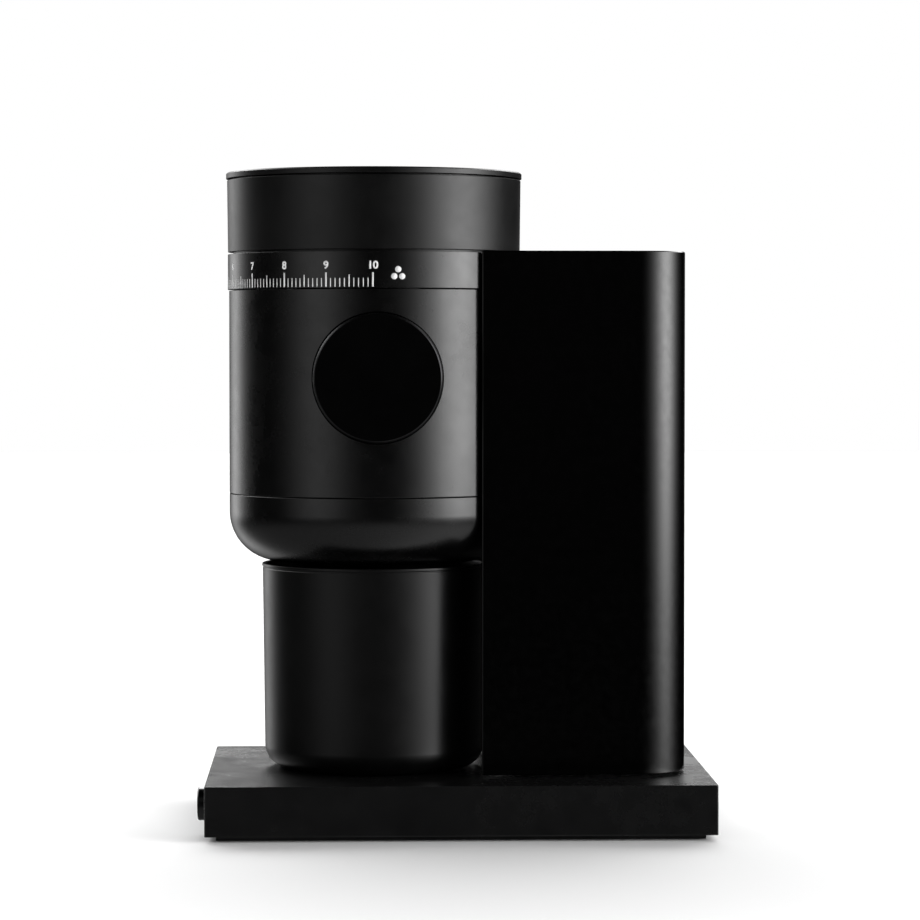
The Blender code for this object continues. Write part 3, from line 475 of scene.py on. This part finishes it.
def make_tower():
    low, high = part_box("tower_shell")
    outer, inner = tower_path(0), tower_path(TOWER_WALL)
    edge, along = 0.7 * MM, 5 * MM

    def free_edge(outer_end, inner_end):
        """The rounded end of the wall, from its outer side to its inner side."""
        (x, y), (_, inner_y) = outer_end, inner_end
        return (fillet((x + along, y), (x, y), (x, inner_y), edge, 5)
                + fillet((x, y), (x, inner_y), (x + along, inner_y), edge, 5))

    outline = (free_edge(outer[0], inner[0])[::-1] + outer[1:-1]
               + free_edge(outer[-1], inner[-1]) + inner[1:-1][::-1])
    shell = object_from("tower_cover", slab(outline, low.z, high.z, 0.5 * MM, steps=1), "gloss", "housing",
                        "tower_shell")
    even_shading(shell)
    top_low, top_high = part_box("tower_top")
    plate_outline = tower_path(TOWER_WALL + CLEARANCE)
    top = object_from("tower_top_plate", slab(plate_outline, top_low.z, top_high.z, 0.4 * MM, steps=3),
                      "gloss", "housing", "tower_top")
    mouth_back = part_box("tower_mouth_panel")[1].x - HEAD_AXIS.x
    past = 10 * MM
    carve(top, cylinder_shape(mouth_back + CLEARANCE, HEAD_AXIS + Vector((0, 0, top_low.z - past)),
                              HEAD_AXIS + Vector((0, 0, top_high.z + past)), 256))
    make_mouth_panel(mouth_back)


def make_mouth_panel(back):
    """The hollow face in the tower's mouth, round the head's axis; back is its rear radius."""
    low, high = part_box("tower_mouth_panel")
    front = back - PANEL_THICKNESS
    swing = math.asin(high.y / back)
    count = 48
    angles = [swing * (2 * i / count - 1) for i in range(count + 1)]
    outline = [(HEAD_AXIS.x + back * math.cos(a), back * math.sin(a)) for a in angles]
    outline += [(HEAD_AXIS.x + front * math.cos(a), front * math.sin(a)) for a in reversed(angles)]
    panel = object_from("tower_mouth_face", slab(outline, low.z, high.z, 0.4 * MM, steps=2), "matte",
                        "housing", "tower_mouth_panel")
    carve(panel, window(FRAME_TOP - WINDOW_BELOW))


def window(low):
    """The belt's way from tower to head, from a height up to its upper edge."""
    return block((0.0, -WINDOW_HALF, low), (60 * MM, WINDOW_HALF, FRAME_TOP + WINDOW_ABOVE))


# ---------------------------------------------------------------- head


def make_head():
    r = radius_of("head_body")
    low, high = heights("head_body")
    wall, edge = SHELL_WALL, 0.35 * MM
    body = turned("head_cover", [(r, high, 0.15 * MM), (r, low, edge), (r - wall, low, 0.2 * MM),
                                 (r - wall, high, 0.2 * MM)],
                  upright(HEAD_AXIS), "satin", "housing", "head_body", segments=256)
    knob_hole = radius_of("start_knob") + 0.6 * MM
    carve(body,
          cylinder_shape(knob_hole, (KNOB_CENTRE.x, -40 * MM, KNOB_CENTRE.z),
                         (KNOB_CENTRE.x, -90 * MM, KNOB_CENTRE.z), 160),
          window(150 * MM))
    make_bowl(r, wall, edge)


def make_bowl(r, wall, edge):
    low, high = heights("head_bowl")
    corner = 25 * MM
    profile = [(0, low + wall, 0), (r - wall, low + wall, corner - wall), (r - wall, high, 0.2 * MM),
               (r, high, edge), (r, low, corner), (0, low, 0)]
    shape = revolve(rounded(profile, closed=False, steps=20), 256, upright(HEAD_AXIS), closed=False)
    bowl = object_from("head_lower_cover", shape, "satin", "housing", "head_bowl")
    exit_x, half_x, half_y, past = -70.0 * MM, 8.5 * MM, 12.4 * MM, 10 * MM
    carve(bowl, block((exit_x - half_x, -half_y, low - past), (exit_x + half_x, half_y, low + past)))


def make_hopper():
    top_r = radius_of("hopper")
    low = heights("adjust_ring")[1] + HOPPER_SEAM
    throat_low, high = heights("hopper")
    bottom_r, inside_r, top_wall = top_r - 0.4 * MM, 71.9 * MM, 2.1 * MM
    skirt_r, skirt_in, skirt_low = 71.2 * MM, 69.2 * MM, low - 3.8 * MM
    throat_r, throat_in, funnel_under, funnel_over = 21.0 * MM, 19.0 * MM, 270.0 * MM, 271.5 * MM
    turned("bean_hopper", [
        (top_r, high, 0.3 * MM), (bottom_r, low, 0.12 * MM), (skirt_r, low, 0.2 * MM),
        (skirt_r, skirt_low, 0.4 * MM), (skirt_in, skirt_low, 0.4 * MM),
        (skirt_in, low + 3.2 * MM, 1.0 * MM), (throat_r, funnel_under, 1.5 * MM),
        (throat_r, throat_low, 0.4 * MM), (throat_in, throat_low, 0.4 * MM),
        (throat_in, funnel_over, 4.0 * MM), (inside_r, low + 7.2 * MM, 5.0 * MM),
        (top_r - top_wall, high, 0.3 * MM)],
        upright(HEAD_AXIS), "hopper", "hopper", "hopper", segments=256)


def make_lid():
    r = radius_of("hopper_lid")
    skirt, high = heights("hopper_lid")
    low = heights("hopper")[1] + LID_SEAM
    skirt_r, skirt_in, inside = 70.4 * MM, 69.0 * MM, low + 0.6 * MM
    turned("bean_lid", [
        (0, high, 0), (r - 0.55 * MM, high, 0), (r, high - 0.6 * MM, 0), (r, low, 0.2 * MM),
        (skirt_r, low, 0.2 * MM), (skirt_r, skirt, 0.3 * MM), (skirt_in, skirt, 0.3 * MM),
        (skirt_in, inside, 0.3 * MM), (0, inside, 0)],
        upright(HEAD_AXIS), "hopper", "lid", "hopper_lid", segments=256, closed=False)
    seal_low, seal_high = heights("lid_seal")
    seal_r = radius_of("lid_seal")
    shoulder, seal_in = seal_r - 0.3 * MM, seal_r - 1.1 * MM
    middle, half, soft = (seal_low + seal_high) / 2, 0.25 * MM, 0.2 * MM
    turned("lid_gasket", [
        (shoulder, seal_high, soft), (seal_r, middle + half, soft), (seal_r, middle - half, soft),
        (shoulder, seal_low, soft), (seal_in, seal_low, soft), (seal_in, seal_high, soft)],
        upright(HEAD_AXIS), "rubber", "lid", "lid_seal", segments=192, steps=3)


# ---------------------------------------------------------------- adjusting ring and its scale

SCALE_STEP = math.radians(18.0)  # angle from one number to the next
SCALE_TEN = math.radians(-90.9)  # direction of the 10, seen from above
DOTS_PAST_TEN = math.radians(9.6)
TICKS_PER_NUMBER = 10
INK_LIFT = 0.02 * MM


def on_ring(angle, along, height, radius):
    """A point of the print: along is the distance round the ring from an angle."""
    turn = angle + along / radius
    return Vector((HEAD_AXIS.x + radius * math.cos(turn), radius * math.sin(turn), height))


def ink_patch(shape, angle, outline, radius):
    """One flat shape of the print, bent round the ring. The outline is (along, height) points."""
    shape.faces.new([shape.verts.new(on_ring(angle, along, height, radius)) for along, height in outline])


def make_ring():
    r = radius_of("adjust_ring")
    hub_low, high = heights("adjust_ring")
    low = heights("head_body")[1] + RING_SEAM
    step_r, hub_r, hub_in, inside_r = 63 * MM, 44 * MM, 38.6 * MM, 71.5 * MM
    under, over = low + 2 * MM, low + 5 * MM  # the web between hub and rim
    turned("grind_ring", [
        (r, high, 0.15 * MM), (r, low, 0.12 * MM), (step_r, low, 0.2 * MM), (step_r, under, 0.3 * MM),
        (hub_r, under, 1.0 * MM), (hub_r, hub_low, 0.4 * MM), (hub_in, hub_low, 0.3 * MM),
        (hub_in, over, 0.4 * MM), (inside_r, over, 1.2 * MM), (inside_r, high, 0.3 * MM)],
        upright(HEAD_AXIS), "dial", "adjusting_ring", "adjust_ring", segments=256)
    make_scale(r + INK_LIFT, low + 0.45 * MM)


def make_scale(radius, bottom):
    ticks = bmesh.new()
    for step in range(9 * TICKS_PER_NUMBER + 1):
        angle = SCALE_TEN - SCALE_STEP * step / TICKS_PER_NUMBER
        if step % TICKS_PER_NUMBER == 0:
            height, width = 7.0 * MM, 0.85 * MM
        elif step % TICKS_PER_NUMBER == TICKS_PER_NUMBER // 2:
            height, width = 5.9 * MM, 0.62 * MM
        else:
            height, width = 4.3 * MM, 0.46 * MM
        ink_patch(ticks, angle, [(-width / 2, bottom), (width / 2, bottom), (width / 2, bottom + height),
                                 (-width / 2, bottom + height)], radius)
    dots, dot_r = [(0.0, 8.5), (-1.95, 5.1), (1.95, 5.1)], 1.55 * MM
    for along, up in dots:
        circle = [(along * MM + dot_r * math.cos(a), bottom + up * MM + dot_r * math.sin(a))
                  for a in (math.radians(15 * i) for i in range(24))]
        ink_patch(ticks, SCALE_TEN + DOTS_PAST_TEN, circle, radius)
    thicken(object_from("scale_marks", ticks, "ink", "adjusting_ring"))
    for number in range(1, 11):
        make_numeral(number, SCALE_TEN - SCALE_STEP * (10 - number), bottom + 8.9 * MM, radius)


def thicken(obj):
    """Gives a print its film thickness, into the ring."""
    modifier = obj.modifiers.new("ink_film", "SOLIDIFY")
    modifier.thickness = INK_FILM
    modifier.offset = -1


def make_numeral(number, angle, bottom, radius):
    text = bpy.data.curves.new(f"numeral_{number}", "FONT")
    text.body = str(number)
    text.size = 5.2 * MM
    text.align_x = "CENTER"
    text.offset = 0.19 * MM
    text.resolution_u = 6
    guide = bpy.data.objects.new(f"numeral_guide_{number}", text)
    bpy.context.scene.collection.objects.link(guide)
    bpy.context.view_layer.update()
    mesh = bpy.data.meshes.new_from_object(guide.evaluated_get(bpy.context.evaluated_depsgraph_get()))
    bpy.data.objects.remove(guide)
    shape = bmesh.new()
    shape.from_mesh(mesh)
    for vertex in shape.verts:
        vertex.co = on_ring(angle, vertex.co.x, bottom + vertex.co.y, radius)
    thicken(object_from(f"scale_number_{number}", shape, "ink", "adjusting_ring"))


# ---------------------------------------------------------------- knob


def make_knob():
    r = radius_of("start_knob")
    face, back = (-corner.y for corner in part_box("start_knob"))
    ridges, per_ridge = 136, 4
    depth = 0.35 * MM
    knurl_front = face - 1.5 * MM

    def knurl(radius, height, segment):
        if radius < r - 0.01 * MM or height > knurl_front + 0.01 * MM:
            return 0.0, 0.0
        return -depth * (0.5 - 0.5 * math.cos(2 * math.pi * segment / per_ridge)), 0.0

    place = pointing((KNOB_CENTRE.x, 0, KNOB_CENTRE.z), (0, -1, 0))
    chamfer_in, chamfer_out, chamfer = r - 1.25 * MM, r - 0.75 * MM, 0.5 * MM
    inside_r, hub_r, bore_r = 28.8 * MM, 7 * MM, 3.5 * MM
    inside, hub_end, bore_end = 78.5 * MM, 67 * MM, 79.4 * MM  # distances from the head's axis
    corners = [(0, face, 0), (chamfer_in, face, 0.06 * MM), (chamfer_out, face - chamfer, 0.06 * MM),
               (r - 0.35 * MM, face - 1.25 * MM, 0.1 * MM), (r, knurl_front - 0.3 * MM, 0), (r, back, 0),
               (inside_r, back, 0.3 * MM), (inside_r, inside, 1.0 * MM), (hub_r, inside, 1.0 * MM),
               (hub_r, hub_end, 0.3 * MM), (bore_r, hub_end, 0.2 * MM), (bore_r, bore_end, 0.2 * MM),
               (0, bore_end, 0)]
    knob = turned("round_knob", corners, place, "knob", "knob", "start_knob", segments=ridges * per_ridge,
                  closed=False, steps=3, ripple=knurl)
    for edge_material in ("bright_edge", "knob_edge"):
        knob.data.materials.append(MATERIALS[edge_material])
    for polygon in knob.data.polygons:
        centre = polygon.center
        out = -centre.y
        radius = math.hypot(centre.x - KNOB_CENTRE.x, centre.z - KNOB_CENTRE.z)
        if chamfer_in - 0.06 * MM < radius < chamfer_out and face - chamfer < out < face - 0.01 * MM:
            polygon.material_index = 1
        elif radius >= chamfer_out and out > back + 0.01 * MM:
            polygon.material_index = 2


# ---------------------------------------------------------------- cup


def make_cup():
    rim_r = radius_of("cup")
    low, high = heights("cup")
    foot_r, wall, corner = rim_r - 1.5 * MM, 2.0 * MM, 11 * MM
    floor, dish, groove_r = low + 2.5 * MM, low + 0.6 * MM, rim_r - 0.5 * MM
    profile = [(0, floor, 0), (foot_r - wall, floor, corner - wall),
               (rim_r - wall, high, 0.7 * MM), (rim_r, high, 0.5 * MM), (rim_r, high - 1.4 * MM, 0.4 * MM),
               (groove_r, high - 1.7 * MM, 0.1 * MM), (groove_r, high - 2.1 * MM, 0.1 * MM),
               (rim_r - 0.3 * MM, high - 2.5 * MM, 0.3 * MM), (foot_r, low, corner),
               (foot_r - 16 * MM, low, 1.0 * MM), (foot_r - 17 * MM, dish, 0.4 * MM), (0, dish, 0)]
    shape = revolve(rounded(profile, closed=False, steps=14), 256, upright(HEAD_AXIS), closed=False)
    even_shading(object_from("catch_cup_shell", shape, "cup", "catch_cup", "cup"))


# ---------------------------------------------------------------- burrs


def make_burr(name, stands_for, screw_names, body, facing):
    """A burr whose cutting side faces up (1) or down (-1), with saw-shaped teeth and screw pockets."""
    low, high = heights(stands_for)
    r, bore, flat = radius_of(stands_for), 15.5 * MM, 21.0 * MM
    thickness, cone = high - low, 2.5 * MM
    teeth, per_tooth = 40, 8
    front = high if facing > 0 else low

    def sawtooth(radius, height, segment):
        if height < thickness - cone - 0.3 * MM or radius < bore + 0.05 * MM or radius > r - 0.05 * MM:
            return 0.0, 0.0
        coarse = 1.0 - 0.65 * min((radius - bore) / (flat - bore), 1.0)
        return 0.0, -1.1 * MM * coarse * (segment % per_tooth) / per_tooth

    place = Matrix.Translation(HEAD_AXIS + Vector((0, 0, front - facing * thickness)))
    if facing < 0:
        place = place @ Matrix.Rotation(math.pi, 4, "X")
    section = [(r - 2.0 * MM, thickness, 0.1 * MM), (r, thickness - 1.2 * MM, 0.1 * MM), (r, 0, 0.2 * MM),
               (bore, 0, 0.2 * MM), (bore, thickness - cone, 0.1 * MM), (18.0 * MM, thickness - 1.3 * MM, 0),
               (flat, thickness, 0.3 * MM)]
    burr = turned(name, section, place, "steel", body, stands_for, segments=teeth * per_tooth, steps=2,
                  ripple=sawtooth)
    tools = []
    for screw_name in screw_names:
        screw_low, screw_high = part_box(screw_name)
        centre = (screw_low + screw_high) / 2
        for radius, start, end in ((3.0 * MM, front - facing * 3.5 * MM, front + facing * 10 * MM),
                                   (1.7 * MM, front - facing * 12 * MM, front + facing * 2 * MM)):
            tools.append(cylinder_shape(radius, (centre.x, centre.y, start), (centre.x, centre.y, end), 40))
    carve(burr, *tools)


# ---------------------------------------------------------------- springs


def make_spring(name, stands_for, axis, fixed, wire, turns):
    """A compression spring with closed ends, attached to the housing. axis is 1 or 2, for Y or Z, and fixed
    is 0 or 1:
    an end of its box, whose point is worked out but not used."""
    low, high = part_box(stands_for)
    across = [i for i in range(3) if i != axis]
    middle = (low + high) / 2
    radius = min(high[across[0]] - low[across[0]], high[across[1]] - low[across[1]]) / 2 - wire
    dead, sides, per_turn = 0.8, 8, 28
    count = int((turns + 2 * dead) * per_turn)
    length = high[axis] - low[axis] - 2 * wire
    closed_pitch = 2.2 * wire
    open_pitch = (length - 2 * dead * closed_pitch) / turns
    shape = bmesh.new()
    rings, height = [], low[axis] + wire
    for i in range(count + 1):
        turn = i / per_turn
        angle = 2 * math.pi * turn
        ring = []
        for k in range(sides):
            around = 2 * math.pi * k / sides
            point = middle.copy()
            reach = radius + wire * math.cos(around)
            point[across[0]] += reach * math.cos(angle)
            point[across[1]] += reach * math.sin(angle)
            point[axis] = height + wire * math.sin(around)
            ring.append(shape.verts.new(point))
        rings.append(ring)
        closed = turn < dead or turn > turns + dead
        height = min(height + (closed_pitch if closed else open_pitch) / per_turn, high[axis] - wire)
    for first, second in zip(rings, rings[1:]):
        for k in range(sides):
            j = (k + 1) % sides
            shape.faces.new([first[k], first[j], second[j], second[k]])
    shape.faces.new(rings[0])
    shape.faces.new(rings[-1])
    spring = object_from(name, shape, "steel", "housing", stands_for, sharp=60)
    anchor = middle.copy()
    anchor[axis] = (low, high)[fixed][axis]
    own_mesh(spring)


# ---------------------------------------------------------------- carried-over CAD nodes



def numbered(stem, count):
    return [f"{stem}_{i}" for i in range(1, count + 1)]


LOWER_BURR_SCREWS, UPPER_BURR_SCREWS = numbered("lower_burr_screw", 3), numbered("upper_burr_screw", 3)

CARRIED = {
    "steel": ["motor_housing", "motor_rotor", "burr_shaft", "rotor_nut", "upper_bearing", "lower_bearing",
              "knob_stem", "detent_plunger", *numbered("base_screw", 4), *numbered("frame_screw", 3),
              *numbered("motor_screw", 2), *numbered("chamber_screw", 2), *LOWER_BURR_SCREWS,
              *UPPER_BURR_SCREWS],
    "aluminium": ["drive_frame", "drive_pulley", "driven_pulley", "burr_rotor", "burr_carrier",
                  "grind_chamber"],
    "matte": ["knob_recess", "outlet_chute"],
    "base": ["bottom_plate"],
    "rubber": ["cord_gland", "drive_belt"],
    "white": ["power_switch_body", "knob_switch"],
    "board": ["control_board"],
}


def soften_edges(obj):
    bevel = obj.modifiers.new("soft_edges", "BEVEL")
    bevel.width = 0.15 * MM
    bevel.segments = 2
    bevel.limit_method = "ANGLE"
    bevel.angle_limit = math.radians(50)
    even_shading(obj)


def dress_cad_nodes():
    for material, names in CARRIED.items():
        for name in names:
            obj = frame["nodes"][name]
            obj.data.materials.clear()
            obj.data.materials.append(MATERIALS[material])
            obj.data.shade_smooth()
            obj.data.set_sharp_from_angle(angle=math.radians(38))
            soften_edges(obj)


# ---------------------------------------------------------------- stage, light and camera


def make_floor():
    shape = bmesh.new()
    bmesh.ops.create_grid(shape, x_segments=2, y_segments=2, size=6.0)
    mesh = bpy.data.meshes.new("floor")
    shape.to_mesh(mesh)
    shape.free()
    floor = bpy.data.objects.new("floor", mesh)
    bpy.context.scene.collection.objects.link(floor)
    material = new_material("pale_floor", (0.92, 0.92, 0.92), 0.9, Specular_IOR_Level=0.1)
    mesh.materials.append(material)
    floor.visible_glossy = False


# Soft studio lights, as parts of the world. azimuth is in degrees from -Y towards +X; sharpness says
# how narrow the light is; the light fades in between the first two heights (sines of the angle over
# the horizon) and out between the last two.
SOFT_LIGHTS = {
    "right": {"azimuth": 71, "sharpness": 14, "heights": (-0.075, -0.005, 0.30, 0.70), "strength": 8.5},
    "right_low": {"azimuth": 71, "sharpness": 14, "heights": (-0.20, -0.03, 0.00, 0.10), "strength": 3.4},
    "right_wide": {"azimuth": 43, "sharpness": 26, "heights": (-0.075, -0.005, 0.30, 0.70), "strength": 0.45},
    "left": {"azimuth": -45, "sharpness": 15, "heights": (-0.085, -0.005, 0.30, 0.70), "strength": 0.75},
    "left_low": {"azimuth": -45, "sharpness": 15, "heights": (-0.25, -0.03, 0.00, 0.10), "strength": 0.5},
    "left_rim": {"azimuth": -142, "sharpness": 42, "heights": (-0.20, -0.03, 0.20, 0.50), "strength": 2.3},
    "right_rim": {"azimuth": 172, "sharpness": 40, "heights": (-0.10, -0.02, 0.02, 0.05), "strength": 0.3},
    "horizon": {"azimuth": 170, "sharpness": 6, "heights": (0.05, 0.11, 0.25, 0.40), "strength": 0.13},
    "back": {"azimuth": 180, "sharpness": 2.0, "heights": (0.28, 0.46, 0.62, 0.84), "strength": 9.2},
    "table": {"azimuth": 0, "sharpness": 0.3, "heights": (-0.12, -0.45, -1.10, -1.20), "strength": 0.30},
    "table_right": {"azimuth": 75, "sharpness": 3, "heights": (-0.12, -0.45, -1.10, -1.20), "strength": 0.6},
    "table_left": {"azimuth": -150, "sharpness": 45, "heights": (-0.75, -0.40, -0.20, -0.03),
                   "strength": 1.0},
}


def make_world():
    """A dark studio with soft lights; the backdrop itself is plain white."""
    world = bpy.data.worlds.new("studio")
    bpy.context.scene.world = world
    world.use_nodes = True
    tree = world.node_tree
    tree.nodes.clear()

    def add(kind, *sources, **settings):
        """A node whose first inputs are links or numbers."""
        made = tree.nodes.new(kind)
        for key, value in settings.items():
            setattr(made, key, value)
        for socket, source in zip(made.inputs, sources):
            if isinstance(source, bpy.types.NodeSocket):
                tree.links.new(source, socket)
            elif source is not None:
                socket.default_value = source
        return made

    def first(kind, *sources, **settings):
        return add(kind, *sources, **settings).outputs[0]

    def lobe(vector, target, sharpness):
        """exp(sharpness * (cosine - 1)) round a direction."""
        cosine = add("ShaderNodeVectorMath", vector, Vector(target).normalized(),
                     operation="DOT_PRODUCT").outputs["Value"]
        exponent = first("ShaderNodeMath", cosine, sharpness, -sharpness, operation="MULTIPLY_ADD")
        return first("ShaderNodeMath", exponent, operation="EXPONENT")

    def fade(value, start, end):
        made = add("ShaderNodeMapRange", value, start, end, 0.0, 1.0, interpolation_type="SMOOTHSTEP")
        return made.outputs["Result"]

    direction = add("ShaderNodeTexCoord").outputs["Generated"]
    height = add("ShaderNodeSeparateXYZ", direction).outputs["Z"]
    flat = first("ShaderNodeVectorMath", direction, (1.0, 1.0, 0.0), operation="MULTIPLY")
    heading = first("ShaderNodeVectorMath", flat, operation="NORMALIZE")
    total = 0.0
    for light in SOFT_LIGHTS.values():
        turn = math.radians(light["azimuth"])
        sideways = lobe(heading, (math.sin(turn), -math.cos(turn), 0.0), light["sharpness"])
        low, full, dim, high = light["heights"]
        fades = first("ShaderNodeMath", fade(height, low, full), fade(height, high, dim),
                      operation="MULTIPLY")
        pattern = first("ShaderNodeMath", sideways, fades, operation="MULTIPLY")
        total = first("ShaderNodeMath", pattern, light["strength"], total, operation="MULTIPLY_ADD")
    studio = first("ShaderNodeBackground", (1, 1, 1, 1), total)
    white = first("ShaderNodeBackground", (1, 1, 1, 1), 1.0)
    seen_directly = add("ShaderNodeLightPath").outputs["Is Camera Ray"]
    mix = first("ShaderNodeMixShader", seen_directly, studio, white)
    add("ShaderNodeOutputWorld", mix)


CAMERA_PLACE = Vector((-0.0535, -1.7519, 0.2408))
CAMERA_YAW = math.radians(1.885)
CAMERA_PITCH = math.radians(1.897)
CAMERA_LENS = 134.9


def make_camera():
    data = bpy.data.cameras.new("camera")
    data.lens = CAMERA_LENS
    data.sensor_width = 36.0
    data.clip_start = 0.05
    camera = bpy.data.objects.new("camera", data)
    camera.location = CAMERA_PLACE
    camera.rotation_euler = (math.pi / 2 - CAMERA_PITCH, 0, -CAMERA_YAW)
    bpy.context.scene.collection.objects.link(camera)
    bpy.context.scene.camera = camera
    bpy.context.scene.view_settings.view_transform = "Standard"


# ---------------------------------------------------------------- the scene

make_camera()
make_world()
make_floor()
dress_cad_nodes()
make_base()
make_power_button()
make_tower()
make_head()
make_hopper()
make_lid()
make_ring()
make_knob()
make_cup()
make_burr("lower_burr_toothed", "lower_burr", LOWER_BURR_SCREWS, "burr_spindle", 1)
make_burr("upper_burr_toothed", "upper_burr", UPPER_BURR_SCREWS, "upper_burr_carrier", -1)
make_spring("knob_return_spring", "knob_spring", 1, 1, 0.4 * MM, 3)
make_spring("detent_return_spring", "detent_spring", 2, 0, 0.35 * MM, 4)
